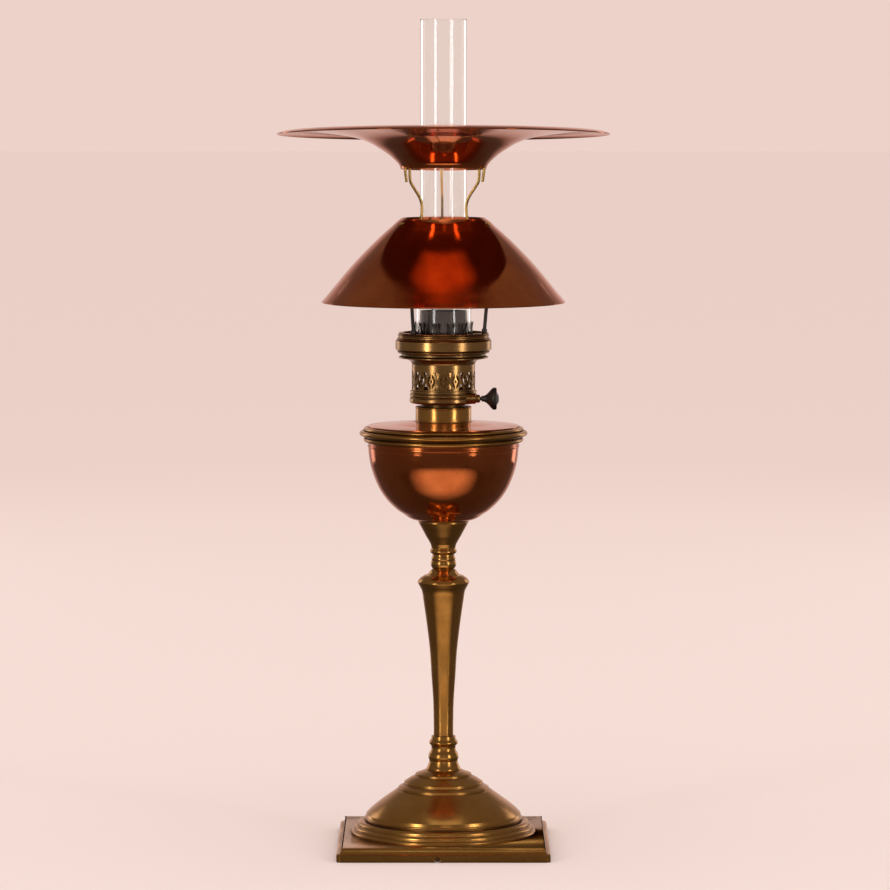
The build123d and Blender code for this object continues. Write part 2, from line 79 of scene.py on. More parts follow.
def softbox(name, azimuth, distance, height, width, tall, power, colour=(1, 1, 1)):
    """Soft rectangular light facing the lamp; azimuth 0 is behind the camera."""
    data = bpy.data.lights.new(name, "AREA")
    data.shape = "RECTANGLE"
    data.size = width
    data.size_y = tall
    data.energy = power
    data.color = colour
    turn_by = math.radians(azimuth)
    place = (distance * math.sin(turn_by), -distance * math.cos(turn_by), height)
    aim(bpy.data.objects.new(name, data), place, (0, 0, 0.4))


def make_world():
    """Pale paper to the eye, through glass and as soft light; a dim studio in reflections."""
    bpy.context.scene.view_settings.view_transform = "Standard"
    world = bpy.data.worlds.new("studio")
    bpy.context.scene.world = world
    world.use_nodes = True
    tree = world.node_tree
    tree.nodes.clear()
    out = tree.nodes.new("ShaderNodeOutputWorld")
    mix = tree.nodes.new("ShaderNodeMixShader")
    paper = tree.nodes.new("ShaderNodeBackground")
    paper.inputs["Color"].default_value = PALE
    room = tree.nodes.new("ShaderNodeBackground")
    path = tree.nodes.new("ShaderNodeLightPath")
    place = tree.nodes.new("ShaderNodeTexCoord")
    split = tree.nodes.new("ShaderNodeSeparateXYZ")
    tree.links.new(place.outputs["Generated"], split.inputs[0])
    ramp = tree.nodes.new("ShaderNodeValToRGB")
    stops = ramp.color_ramp.elements
    stops[0].position = 0.0
    stops[0].color = DIM
    stops[1].position = 1.0
    stops[1].color = (0.20, 0.175, 0.16, 1)
    for position, grey in ((0.40, 0.11), (0.50, 0.24), (0.62, 0.16)):
        stops.new(position).color = (grey, 0.88 * grey, 0.82 * grey, 1)
    height = range_node(tree, split.outputs["Z"], -1.0, 1.0, 0.0, 1.0)
    tree.links.new(height, ramp.inputs["Fac"])
    behind = range_node(tree, split.outputs["Y"], 0.80, 0.98, 0.0, 0.85)
    tree.links.new(mix_colours(tree, behind, ramp.outputs["Color"], PALE), room.inputs["Color"])
    once = math_node(tree, "LESS_THAN", path.outputs["Transmission Depth"], 0.5)
    tree.links.new(math_node(tree, "MULTIPLY", path.outputs["Is Glossy Ray"], once), mix.inputs["Fac"])
    tree.links.new(paper.outputs[0], mix.inputs[1])
    tree.links.new(room.outputs[0], mix.inputs[2])
    tree.links.new(mix.outputs[0], out.inputs["Surface"])


def level_sheet(name, material, size, scale=(1, 1, 1), place=(0, 0, 0)):
    """Flat sheet for the set."""
    bm = bmesh.new()
    bmesh.ops.create_grid(bm, x_segments=1, y_segments=1, size=size)
    bmesh.ops.scale(bm, vec=scale, verts=bm.verts)
    bmesh.ops.translate(bm, vec=place, verts=bm.verts)
    mesh = bpy.data.meshes.new(name)
    bm.to_mesh(mesh)
    bm.free()
    sheet = bpy.data.objects.new(name, mesh)
    bpy.context.scene.collection.objects.link(sheet)
    mesh.materials.append(material)
    return sheet


def make_floor():
    floor = level_sheet("floor", plain_paper(), 28)
    floor.visible_glossy = False


def make_table_card():
    """Pale card lying in front of the lamp, seen only as a reflection in the metal."""
    card = level_sheet("table_card", lit_card(), 0.5, (1.1, 0.60, 1), (0, -0.42, 0.4 * MM))
    for sight in ("camera", "diffuse", "transmission", "shadow"):
        setattr(card, "visible_" + sight, False)


def plain_paper():
    material, _, shader = blank("floor_paper")
    shader.inputs["Base Color"].default_value = (0.965, 0.965, 0.965, 1)
    shader.inputs["Roughness"].default_value = 1.0
    shader.inputs["Specular IOR Level"].default_value = 0.0
    return material


def lit_card():
    """Glowing card that fades towards its edges."""
    material, tree, shader = blank("lit_card")
    shader.inputs["Base Color"].default_value = (0, 0, 0, 1)
    shader.inputs["Specular IOR Level"].default_value = 0.0
    shader.inputs["Emission Strength"].default_value = 1.15
    place = tree.nodes.new("ShaderNodeTexCoord")
    spread = tree.nodes.new("ShaderNodeMapping")
    spread.inputs["Location"].default_value = (0, 1.40, 0)
    spread.inputs["Scale"].default_value = (1.85, 3.33, 1)
    fade = tree.nodes.new("ShaderNodeTexGradient")
    fade.gradient_type = "SPHERICAL"
    tree.links.new(place.outputs["Object"], spread.inputs["Vector"])
    tree.links.new(spread.outputs[0], fade.inputs["Vector"])
    glow = mix_colours(tree, range_node(tree, fade.outputs["Fac"], 0.0, 0.55, 0.0, 1.0), DIM, CARD)
    tree.links.new(glow, shader.inputs["Emission Color"])
    return material


# ---- Shared effects --------------------------------------------------------------------
def new_group(name, inputs, outputs):
    """Shader node group; inputs are (name, kind, value), outputs are (name, kind)."""
    group = bpy.data.node_groups.new(name, "ShaderNodeTree")
    for label, kind, value in inputs:
        socket = group.interface.new_socket(name=label, in_out="INPUT", socket_type=kind)
        socket.default_value = value
    for label, kind in outputs:
        group.interface.new_socket(name=label, in_out="OUTPUT", socket_type=kind)
    return group, group.nodes.new("NodeGroupInput"), group.nodes.new("NodeGroupOutput")


def math_node(tree, operation, first, second):
    node = tree.nodes.new("ShaderNodeMath")
    node.operation = operation
    for socket, value in zip(node.inputs, (first, second)):
        if isinstance(value, (int, float)):
            socket.default_value = value
        else:
            tree.links.new(value, socket)
    return node.outputs[0]


def noise_node(tree, vector, scale, detail=3.0, rough=0.5):
    node = tree.nodes.new("ShaderNodeTexNoise")
    node.inputs["Scale"].default_value = scale
    node.inputs["Detail"].default_value = detail
    node.inputs["Roughness"].default_value = rough
    tree.links.new(vector, node.inputs["Vector"])
    return node.outputs["Fac"]


def range_node(tree, value, low, high, to_low, to_high):
    node = tree.nodes.new("ShaderNodeMapRange")
    tree.links.new(value, node.inputs["Value"])
    for label, number in zip(("From Min", "From Max", "To Min", "To Max"), (low, high, to_low, to_high)):
        node.inputs[label].default_value = number
    return node.outputs[0]


def mix_colours(tree, factor, first, second, blend="MIX"):
    node = tree.nodes.new("ShaderNodeMix")
    node.data_type = "RGBA"
    node.blend_type = blend
    sockets = [s for s in node.inputs if s.type == "RGBA"]
    fac = node.inputs[0]
    if isinstance(factor, (int, float)):
        fac.default_value = factor
    else:
        tree.links.new(factor, fac)
    for socket, value in zip(sockets, (first, second)):
        if isinstance(value, tuple):
            socket.default_value = value
        else:
            tree.links.new(value, socket)
    return [s for s in node.outputs if s.type == "RGBA"][0]


def make_lathe_group():
    """Fine rings left by turning or spinning: they follow the radius and the height."""
    group, enter, leave = new_group(
        "turning_rings", [("Pitch", "NodeSocketFloat", 900.0)], [("Rings", "NodeSocketFloat")])
    place = group.nodes.new("ShaderNodeTexCoord")
    split = group.nodes.new("ShaderNodeSeparateXYZ")
    group.links.new(place.outputs["Object"], split.inputs[0])
    across = math_node(group, "MULTIPLY", split.outputs["X"], split.outputs["X"])
    deep = math_node(group, "MULTIPLY", split.outputs["Y"], split.outputs["Y"])
    radius = math_node(group, "SQRT", math_node(group, "ADD", across, deep), 0.0)
    join = group.nodes.new("ShaderNodeCombineXYZ")
    group.links.new(math_node(group, "MULTIPLY", radius, enter.outputs["Pitch"]), join.inputs["X"])
    group.links.new(math_node(group, "MULTIPLY", split.outputs["Z"], enter.outputs["Pitch"]), join.inputs["Y"])
    rings = noise_node(group, join.outputs[0], 1.0, detail=4.0, rough=0.65)
    group.links.new(rings, leave.inputs["Rings"])
    return group


def make_tarnish_and_shade_group():
    """Cloudy tarnish and small spots, with painted shade: corners and grooves darkened by ambient occlusion."""
    group, enter, leave = new_group(
        "tarnish_and_shade", [("Reach", "NodeSocketFloat", 0.004)],
        [("Cloud", "NodeSocketFloat"), ("CornerShade", "NodeSocketFloat"), ("Spots", "NodeSocketFloat")])
    place = group.nodes.new("ShaderNodeTexCoord")
    cloud = noise_node(group, place.outputs["Object"], 28.0, detail=5.0, rough=0.6)
    fine = noise_node(group, place.outputs["Object"], 420.0, detail=3.0, rough=0.6)
    # Ambient occlusion gives the painted shade: corners and grooves turn darker where shade falls.
    occlusion_shade = group.nodes.new("ShaderNodeAmbientOcclusion")
    occlusion_shade.samples = 6
    group.links.new(enter.outputs["Reach"], occlusion_shade.inputs["Distance"])
    group.links.new(range_node(group, cloud, 0.35, 0.68, 0.0, 1.0), leave.inputs["Cloud"])
    group.links.new(range_node(group, occlusion_shade.outputs["AO"], 0.35, 0.95, 1.0, 0.0), leave.inputs["CornerShade"])
    group.links.new(range_node(group, fine, 0.60, 0.75, 0.0, 1.0), leave.inputs["Spots"])
    return group


lathe_group = make_lathe_group()
tarnish_and_shade_group = make_tarnish_and_shade_group()


def place_group(tree, group, **values):
    node = tree.nodes.new("ShaderNodeGroup")
    node.node_tree = group
    for label, value in values.items():
        node.inputs[label].default_value = value
    return node


# ---- Materials -------------------------------------------------------------------------
def blank(name):
    material = bpy.data.materials.new(name)
    material.use_nodes = True
    tree = material.node_tree
    return material, tree, tree.nodes["Principled BSDF"]


def turned_metal(name, bright, dull, corner, rough, ring_depth, pitch, shade_reach=0.004):
    """Metal with turning rings, cloudy tarnish, small spots and painted shade in its corners and grooves."""
    material, tree, shader = blank(name)
    shader.inputs["Metallic"].default_value = 1.0
    rings = place_group(tree, lathe_group, Pitch=pitch).outputs["Rings"]
    tarnish_and_shade = place_group(tree, tarnish_and_shade_group, Reach=shade_reach)
    base = mix_colours(tree, tarnish_and_shade.outputs["Cloud"], (*bright, 1), (*dull, 1))
    ringed = mix_colours(tree, range_node(tree, rings, 0.35, 0.7, 0.0, 0.35), base, (*dull, 1))
    # corner is the colour of the small tarnish spots and also of the painted shade in corners and grooves.
    spotted = mix_colours(tree, math_node(tree, "MULTIPLY", tarnish_and_shade.outputs["Spots"], 0.25), ringed, (*corner, 1))
    # Painted shade: ambient occlusion darkens corners and grooves towards the corner colour.
    final = mix_colours(tree, math_node(tree, "MULTIPLY", tarnish_and_shade.outputs["CornerShade"], 0.85), spotted, (*corner, 1))
    tree.links.new(final, shader.inputs["Base Color"])
    cloudy = math_node(tree, "MULTIPLY", tarnish_and_shade.outputs["Cloud"], 0.10)
    dark = math_node(tree, "MULTIPLY", tarnish_and_shade.outputs["CornerShade"], 0.22)
    total = math_node(tree, "ADD", math_node(tree, "ADD", cloudy, dark), rough)
    tree.links.new(total, shader.inputs["Roughness"])
    bump = tree.nodes.new("ShaderNodeBump")
    bump.inputs["Strength"].default_value = ring_depth
    bump.inputs["Distance"].default_value = 0.00006
    tree.links.new(rings, bump.inputs["Height"])
    tree.links.new(bump.outputs["Normal"], shader.inputs["Normal"])
    return material


def black_metal():
    material, tree, shader = blank("heat_blackened_metal")
    shader.inputs["Metallic"].default_value = 0.85
    tarnish_and_shade = place_group(tree, tarnish_and_shade_group, Reach=0.003)
    base = mix_colours(tree, tarnish_and_shade.outputs["Cloud"], (0.045, 0.04, 0.036, 1), (0.11, 0.095, 0.08, 1))
    final = mix_colours(tree, math_node(tree, "MULTIPLY", tarnish_and_shade.outputs["Spots"], 0.3), base, (0.2, 0.15, 0.09, 1))
    tree.links.new(final, shader.inputs["Base Color"])
    tree.links.new(range_node(tree, tarnish_and_shade.outputs["Cloud"], 0.0, 1.0, 0.34, 0.5), shader.inputs["Roughness"])
    return material


def lamp_glass():
    material, tree, shader = blank("clear_lamp_glass")
    shader.inputs["Base Color"].default_value = (0.97, 0.99, 0.985, 1)
    shader.inputs["Transmission Weight"].default_value = 1.0
    shader.inputs["IOR"].default_value = 1.47
    place = tree.nodes.new("ShaderNodeTexCoord")
    ripple = noise_node(tree, place.outputs["Object"], 22.0, detail=1.0)
    tree.links.new(range_node(tree, ripple, 0.3, 0.7, 0.005, 0.03), shader.inputs["Roughness"])
    bump = tree.nodes.new("ShaderNodeBump")
    bump.inputs["Strength"].default_value = 0.15
    bump.inputs["Distance"].default_value = 0.0004
    tree.links.new(ripple, bump.inputs["Height"])
    tree.links.new(bump.outputs["Normal"], shader.inputs["Normal"])
    return material


def wick_cotton():
    """Woven cotton, charred at its upper edge."""
    material, tree, shader = blank("wick_cotton")
    shader.inputs["Roughness"].default_value = 0.95
    low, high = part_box("wick")
    place = tree.nodes.new("ShaderNodeTexCoord")
    split = tree.nodes.new("ShaderNodeSeparateXYZ")
    tree.links.new(place.outputs["Object"], split.inputs[0])
    char = range_node(tree, split.outputs["Z"], high.z - 4 * MM, high.z - 1 * MM, 0.0, 1.0)
    weave = tree.nodes.new("ShaderNodeTexWave")
    weave.inputs["Scale"].default_value = 260.0
    weave.bands_direction = "Z"
    tree.links.new(place.outputs["Object"], weave.inputs["Vector"])
    cloth = mix_colours(tree, weave.outputs["Fac"], (0.62, 0.56, 0.44, 1), (0.84, 0.80, 0.70, 1))
    final = mix_colours(tree, char, cloth, (0.03, 0.025, 0.02, 1))
    tree.links.new(final, shader.inputs["Base Color"])
    bump = tree.nodes.new("ShaderNodeBump")
    bump.inputs["Strength"].default_value = 0.5
    bump.inputs["Distance"].default_value = 0.0003
    tree.links.new(weave.outputs["Fac"], bump.inputs["Height"])
    tree.links.new(bump.outputs["Normal"], shader.inputs["Normal"])
    return material


brass = turned_metal("aged_brass", (0.66, 0.33, 0.085), (0.44, 0.20, 0.045), (0.09, 0.032, 0.008),
                     rough=0.17, ring_depth=0.5, pitch=2600.0)
copper = turned_metal("polished_copper", (0.74, 0.20, 0.055), (0.54, 0.125, 0.034), (0.12, 0.025, 0.008),
                      rough=0.075, ring_depth=0.10, pitch=900.0)
bronzed = turned_metal("bronzed_burner_brass", (0.56, 0.30, 0.10), (0.33, 0.17, 0.06), (0.04, 0.02, 0.008),
                       rough=0.20, ring_depth=0.4, pitch=2600.0)
wire_brass = turned_metal("drawn_brass_wire", (0.80, 0.52, 0.16), (0.56, 0.34, 0.10), (0.16, 0.08, 0.02),
                          rough=0.20, ring_depth=0.2, pitch=1500.0)
tinned = turned_metal("tinned_sheet", (0.62, 0.62, 0.60), (0.45, 0.45, 0.43), (0.14, 0.13, 0.12),
                      rough=0.35, ring_depth=0.3, pitch=900.0)
steel = turned_metal("dull_steel", (0.40, 0.39, 0.37), (0.26, 0.25, 0.23), (0.07, 0.06, 0.05),
                     rough=0.4, ring_depth=0.3, pitch=1500.0)
iron = turned_metal("cast_iron", (0.10, 0.095, 0.09), (0.06, 0.055, 0.05), (0.03, 0.025, 0.02),
                    rough=0.6, ring_depth=0.6, pitch=300.0)
blackened = black_metal()
glass = lamp_glass()
cotton = wick_cotton()

FINISH = {
    "brass": brass, "copper": copper, "iron": iron, "steel": steel, "tinplate": tinned,
    "burner_brass": bronzed, "blackened_metal": blackened, "winder_steel": steel,
    "carrier_brass": bronzed, "hook_brass": wire_brass, "glass": glass, "wick_cotton": cotton,
}
SLOT_OF = {part["node"]: part["material_slot"] for part in frame["record"]["subparts"]}
BODY_OF = {node: body for body, nodes in frame["record"]["behaviour"]["bodies"].items() for node in nodes}


def finish_cad_nodes():
    for node, thing in frame["nodes"].items():
        thing.data.materials.clear()
        thing.data.materials.append(FINISH[SLOT_OF[node]])


# ---- Making pieces ---------------------------------------------------------------------
def curve_through(points, steps):
    """Catmull-Rom curve through (radius, height) points, without its first point."""
    ends = [points[0]] + list(points) + [points[-1]]
    made = []
    for index in range(1, len(ends) - 2):
        a, b, c, d = (Vector(p) for p in ends[index - 1:index + 3])
        for step in range(1, steps + 1):
            t = step / steps
            made.append(0.5 * ((2 * b) + (c - a) * t + (2 * a - 5 * b + 4 * c - d) * t * t
                               + (3 * b - a - 3 * c + d) * t * t * t))
    return made


def profile_points(outline, steps=7):
    """A list inside the outline is a smooth curve from the point before it."""
    points = [Vector(outline[0])]
    for stretch in outline[1:]:
        if isinstance(stretch, list):
            points += curve_through([points[-1]] + stretch, steps)
        else:
            points.append(Vector(stretch))
    return points


def beside(points, wall):
    """The same smooth curve moved a wall's thickness to its right."""
    moved = []
    for index, point in enumerate(points):
        before = Vector(points[max(index - 1, 0)])
        after = Vector(points[min(index + 1, len(points) - 1)])
        along = (after - before).normalized()
        moved.append((point[0] + wall * along.y, point[1] - wall * along.x))
    return moved


def finish_piece(name, bm, material, nodes):
    """Turns the bmesh into a piece that stands for the CAD nodes and rides on their body."""
    mesh = bpy.data.meshes.new(name)
    bmesh.ops.remove_doubles(bm, verts=bm.verts, dist=WELD)
    bmesh.ops.recalc_face_normals(bm, faces=bm.faces)
    for face in bm.faces:
        face.smooth = True
    bm.to_mesh(mesh)
    bm.free()
    mesh.set_sharp_from_angle(angle=math.radians(SHARP_ANGLE))
    piece = bpy.data.objects.new(name, mesh)
    bpy.context.scene.collection.objects.link(piece)
    mesh.materials.append(material)
    level = piece.modifiers.new("level_faces", "WEIGHTED_NORMAL")
    level.keep_sharp = True
    level.weight = 100
    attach(piece, BODY_OF[nodes[0]])
    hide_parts(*nodes)
    return piece


def bake(piece):
    """Makes the modifiers part of the mesh."""
    bpy.context.view_layer.update()
    shown = piece.evaluated_get(bpy.context.evaluated_depsgraph_get())
    made = bpy.data.meshes.new_from_object(shown)
    piece.modifiers.clear()
    piece.data = made


def punch(piece, cutter_bm):
    """Cuts real openings into a finished piece."""
    mesh = bpy.data.meshes.new("cutter")
    cutter_bm.to_mesh(mesh)
    cutter_bm.free()
    cutter = bpy.data.objects.new("cutter", mesh)
    bpy.context.scene.collection.objects.link(cutter)
    hole = piece.modifiers.new("openings", "BOOLEAN")
    hole.object = cutter
    hole.solver = "EXACT"
    bake(piece)
    bpy.data.objects.remove(cutter)


def spin_profile(bm, points, segments):
    verts = [bm.verts.new((p[0], 0, p[1])) for p in points]
    edges = [bm.edges.new((a, b)) for a, b in zip(verts, verts[1:] + verts[:1])]
    bmesh.ops.spin(bm, geom=verts + edges, cent=ORIGIN, axis=UP, angle=FULL_TURN, steps=segments,
                   use_merge=True, use_duplicate=False)
    bmesh.ops.remove_doubles(bm, verts=bm.verts, dist=WELD)
    bmesh.ops.recalc_face_normals(bm, faces=bm.faces)


def round_corners(bm, radius, angle=38):
    corners = [e for e in bm.edges if len(e.link_faces) == 2 and e.calc_face_angle(0) > math.radians(angle)]
    if corners and radius:
        bmesh.ops.bevel(bm, geom=corners, offset=radius, offset_type="OFFSET", affect="EDGES", segments=2,
                        profile=0.5, material=-1, clamp_overlap=True)


def turned(name, outline, segments=144, corner=0.25 * MM, steps=7):
    """Turned or spun piece that replaces the CAD node of the same name."""
    bm = bmesh.new()
    spin_profile(bm, profile_points(outline, steps), segments)
    round_corners(bm, corner)
    return finish_piece(name + "_turned", bm, FINISH[SLOT_OF[name]], [name])


def size_of(node):
    """Outer radius, underside height and height of a turned node."""
    low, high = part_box(node)
    return high.x, low.z, high.z - low.z


# ---- Foot and column -------------------------------------------------------------------
STEM_BORE = 4.3 * MM


def make_base_plate():
    low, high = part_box("base_plate")
    width = high.x - low.x
    lower = 6.0 * MM
    step = 3.8 * MM
    bm = bmesh.new()
    bmesh.ops.create_cube(bm, size=1)
    bmesh.ops.scale(bm, vec=(width, width, lower), verts=bm.verts)
    bmesh.ops.translate(bm, vec=(0, 0, lower / 2), verts=bm.verts)
    upright = [e for e in bm.edges if abs(e.verts[0].co.z - e.verts[1].co.z) > lower / 2]
    bmesh.ops.bevel(bm, geom=upright, offset=4 * MM, offset_type="OFFSET", affect="EDGES", segments=6,
                    profile=0.5, material=-1)
    bm.faces.ensure_lookup_table()
    top = max(bm.faces, key=lambda f: f.calc_center_median().z)
    bmesh.ops.inset_region(bm, faces=[top], thickness=1.2 * MM, depth=0.9 * MM)
    bmesh.ops.inset_region(bm, faces=[top], thickness=1.6 * MM, depth=0)
    bmesh.ops.inset_region(bm, faces=[top], thickness=0.9 * MM, depth=1.5 * MM)
    bmesh.ops.inset_region(bm, faces=[top], thickness=0.2 * MM, depth=1.6 * MM)
    bmesh.ops.inset_region(bm, faces=[top], thickness=1.4 * MM, depth=high.z - lower - 4.0 * MM)
    bottom = min(bm.faces, key=lambda f: f.calc_center_median().z)
    bmesh.ops.inset_region(bm, faces=[bottom], thickness=step + 2.6 * MM, depth=0)
    bmesh.ops.inset_region(bm, faces=[bottom], thickness=0.1 * MM, depth=-(high.z - 2.6 * MM))
    round_corners(bm, 0.5 * MM, angle=30)
    plate = finish_piece("base_plate_cast", bm, brass, ["base_plate"])
    vent = bmesh.new()
    place = Matrix.Translation((-5 * MM, low.y, 1.9 * MM)) @ Matrix.Rotation(math.pi / 2, 4, "X")
    bmesh.ops.create_cone(vent, cap_ends=True, segments=32, radius1=2.6 * MM, radius2=2.6 * MM, depth=40 * MM,
                          matrix=place)
    punch(plate, vent)


def make_foot():
    r, z, h = size_of("foot_ring")
    dome_r, dome_z, dome_h = size_of("foot_dome")
    turned("foot_ring", [
        (dome_r - 6 * MM, z), (r, z), (r, z + 1.6 * MM),
        [(r - 0.5 * MM, z + 2.6 * MM), (r - 1.8 * MM, z + 3.4 * MM)], (r - 2.7 * MM, z + 3.4 * MM),
        (r - 2.7 * MM, z + 4.1 * MM), [(r - 3.0 * MM, z + 5.7 * MM), (r - 4.6 * MM, z + 7.0 * MM)],
        (r - 5.5 * MM, z + 7.0 * MM), (r - 5.5 * MM, z + 7.7 * MM),
        [(r - 5.9 * MM, z + 9.5 * MM), (r - 8.0 * MM, z + 10.8 * MM)], (dome_r - 1.6 * MM, z + 10.9 * MM),
        (dome_r - 1.6 * MM, z + h), (dome_r - 6 * MM, z + h)])
    bulge = [(dome_r - 1.4 * MM, dome_z + 4.2 * MM), (0.925 * dome_r, dome_z + 0.19 * dome_h),
             (0.83 * dome_r, dome_z + 0.32 * dome_h), (0.715 * dome_r, dome_z + 0.455 * dome_h),
             (0.60 * dome_r, dome_z + 0.585 * dome_h)]
    steps = [(0.593, 0.588), (0.575, 0.592), (0.575, 0.640), (0.560, 0.655), (0.515, 0.690), (0.500, 0.694),
             (0.500, 0.745), (0.488, 0.760), (0.430, 0.822), (0.372, 0.868), (0.356, 0.872), (0.356, 0.915),
             (0.342, 0.928), (0.290, 0.955), (0.221, 1.0)]
    rings = [(across * dome_r, dome_z + up * dome_h) for across, up in steps]
    under = [(0.33 * dome_r, dome_z + 0.86 * dome_h), (0.60 * dome_r, dome_z + 0.50 * dome_h),
             (0.83 * dome_r, dome_z + 0.25 * dome_h), (dome_r - 3.4 * MM, dome_z)]
    turned("foot_dome", [
        (dome_r, dome_z), (dome_r, dome_z + 1.0 * MM), (dome_r - 0.9 * MM, dome_z + 1.5 * MM), bulge[0], bulge[1:],
        *rings, (STEM_BORE, dome_z + dome_h), (STEM_BORE, dome_z + 0.93 * dome_h), under[0], under[1:]],
        segments=180)


def make_column():
    r, z, h = size_of("foot_knop")
    turned("foot_knop", [
        (STEM_BORE, z), (r, z), (r - 0.4 * MM, z + 1.2 * MM),
        [(r - 1.6 * MM, z + 3.6 * MM), (0.815 * r, z + 0.25 * h), (0.855 * r, z + 0.33 * h),
         (0.862 * r, z + 0.4 * h), (0.83 * r, z + 0.47 * h), (0.735 * r, z + 0.56 * h), (0.69 * r, z + 0.645 * h)],
        (0.71 * r, z + 0.72 * h), (0.76 * r, z + 0.735 * h),
        [(0.825 * r, z + 0.8 * h), (0.76 * r, z + 0.88 * h)],
        (0.70 * r, z + 0.89 * h), (0.69 * r, z + h), (STEM_BORE, z + h)], segments=96)
    r, z, h = size_of("column_shaft")
    foot = 0.379 * r
    swell = r - foot
    turned("column_shaft", [
        (STEM_BORE, z), (foot, z), (foot, z + 0.06 * h),
        [(foot + 0.03 * swell, z + 0.21 * h), (foot + 0.14 * swell, z + 0.37 * h),
         (foot + 0.24 * swell, z + 0.52 * h), (foot + 0.42 * swell, z + 0.67 * h),
         (foot + 0.64 * swell, z + 0.82 * h), (foot + 0.73 * swell, z + 0.875 * h), (r - 1.5 * MM, z + h - 13 * MM)],
        (r - 0.3 * MM, z + h - 10.6 * MM), (r, z + h - 9.9 * MM), (r - 0.1 * MM, z + h - 9.2 * MM),
        [(r - 1.9 * MM, z + h - 6.6 * MM), (0.76 * r, z + h - 4.2 * MM), (0.69 * r, z + h - 3.7 * MM)],
        (0.62 * r, z + h - 3.6 * MM), (0.5 * r, z + h), (STEM_BORE, z + h)], segments=128)
    r, z, h = size_of("column_knop")
    turned("column_knop", [
        (STEM_BORE, z), (0.96 * r, z), (0.8 * r, z + 0.07 * h),
        [(0.91 * r, z + 0.16 * h), (0.947 * r, z + 0.28 * h), (0.9 * r, z + 0.37 * h)],
        (0.86 * r, z + 0.385 * h), [(0.895 * r, z + 0.45 * h), (0.86 * r, z + 0.51 * h)],
        (0.82 * r, z + 0.53 * h), (0.815 * r, z + 0.62 * h),
        [(0.94 * r, z + 0.665 * h), (r, z + 0.72 * h), (0.95 * r, z + 0.79 * h)],
        (0.89 * r, z + 0.83 * h), (0.9 * r, z + 0.9 * h), (0.965 * r, z + h), (STEM_BORE, z + h)], segments=96)
    r, z, h = size_of("bowl_cup")
    turned("bowl_cup", [
        (STEM_BORE, z), (0.52 * r, z), (0.6 * r, z + 0.16 * h), (0.68 * r, z + 0.3 * h), (0.70 * r, z + 0.335 * h),
        [(0.8 * r, z + 0.54 * h), (0.89 * r, z + 0.72 * h), (0.96 * r, z + 0.86 * h)],
        (0.975 * r, z + 0.90 * h), (r, z + 0.92 * h), (r, z + h), (STEM_BORE, z + h)], segments=96)


# ---- Bowl and font ---------------------------------------------------------------------
def make_bowl():
    r, z, h = size_of("bowl")
    cup = size_of("bowl_cup")[0]
    wall = 0.9 * MM
    outer = [(cup, z), (0.44 * r, z + 0.033 * h), (0.53 * r, z + 0.09 * h), (0.62 * r, z + 0.15 * h),
             (0.737 * r, z + 0.26 * h), (0.83 * r, z + 0.385 * h), (0.896 * r, z + 0.517 * h),
             (0.945 * r, z + 0.65 * h), (0.974 * r, z + 0.77 * h), (0.99 * r, z + 0.9 * h)]
    inner = beside(outer, -wall)
    top = z + h
    turned("bowl", [
        (STEM_BORE, z), outer[0], outer[1:], (r - 0.5 * MM, top - 3.9 * MM), (r, top - 3.6 * MM),
        (r, top - 2.6 * MM), (r - 0.5 * MM, top - 2.3 * MM), (r - 0.3 * MM, top), (r - wall, top),
        (inner[-1][0], inner[-1][1]), inner[-2::-1], (STEM_BORE, z + wall)], segments=192)
    r, z, h = size_of("bowl_rim")
    rim_z = z + 4 * MM
    turned("bowl_rim", [
        (0.9 * r, z), (0.93 * r, z), (0.93 * r, rim_z), (r - 3.0 * MM, rim_z),
        [(r - 0.8 * MM, rim_z + 0.9 * MM), (r, rim_z + 2.4 * MM), (r - 0.5 * MM, rim_z + 3.8 * MM)],
        (r - 1.6 * MM, rim_z + 4.3 * MM), (r - 1.8 * MM, z + h), (0.9 * r, z + h)], segments=192)


def make_font():
    r, z, h = size_of("font_flange")
    bore = size_of("font_reservoir")[0] - 2 * MM
    turned("font_flange", [
        (bore, z), (r - 3.6 * MM, z),
        [(r - 1.1 * MM, z + 0.9 * MM), (r, z + 2.5 * MM), (r - 0.9 * MM, z + 4.2 * MM), (r - 2.6 * MM, z + 4.9 * MM)],
        (r - 4.3 * MM, z + 5.1 * MM),
        [(r - 3.4 * MM, z + 6.0 * MM), (r - 3.9 * MM, z + 7.2 * MM), (r - 5 * MM, z + 7.7 * MM)],
        (r - 6.5 * MM, z + h), (bore, z + h)], segments=192)
    shoulder_r, z, h = size_of("font_shoulder")
    collar_r, collar_low, collar_h = size_of("font_collar")
    edge = collar_r + 0.7 * MM
    span = shoulder_r - edge
    top = [(shoulder_r, z + 0.9 * MM), (edge + 0.77 * span, z + 0.36 * h), (edge + 0.49 * span, z + 0.5 * h),
           (edge + 0.24 * span, z + 0.76 * h), (edge, z + h)]
    under = beside(top, -0.9 * MM)
    hole = 21.3 * MM
    turned("font_shoulder", [
        (shoulder_r, z), top[0], top[1:], (hole, z + h), (hole, z + h - 0.9 * MM), under[-1], under[-2:0:-1]],
        segments=192)
    low = collar_low + 4 * MM
    high = collar_low + collar_h
    bore = 18.9 * MM
    turned("font_collar", [
        (bore, collar_low), (21.3 * MM, collar_low), (21.3 * MM, low), (collar_r, low),
        (collar_r, low + 0.5 * MM), (collar_r - 0.25 * MM, low + 0.8 * MM), (collar_r - 0.25 * MM, high - 1.6 * MM),
        (collar_r, high - 1.3 * MM), (collar_r, high - 0.6 * MM), (collar_r - 0.6 * MM, high), (bore, high)],
        segments=128)


# ---- Burner ----------------------------------------------------------------------------
def wrap(bm, verts, radius, middle_angle, middle_z):
    """Bends flat verts (x along the girth, y up) round the lamp's axis."""
    for vert in verts:
        turn_by = middle_angle + vert.co.x / radius
        away = radius + vert.co.z
        vert.co = Vector((away * math.cos(turn_by), away * math.sin(turn_by), middle_z + vert.co.y))


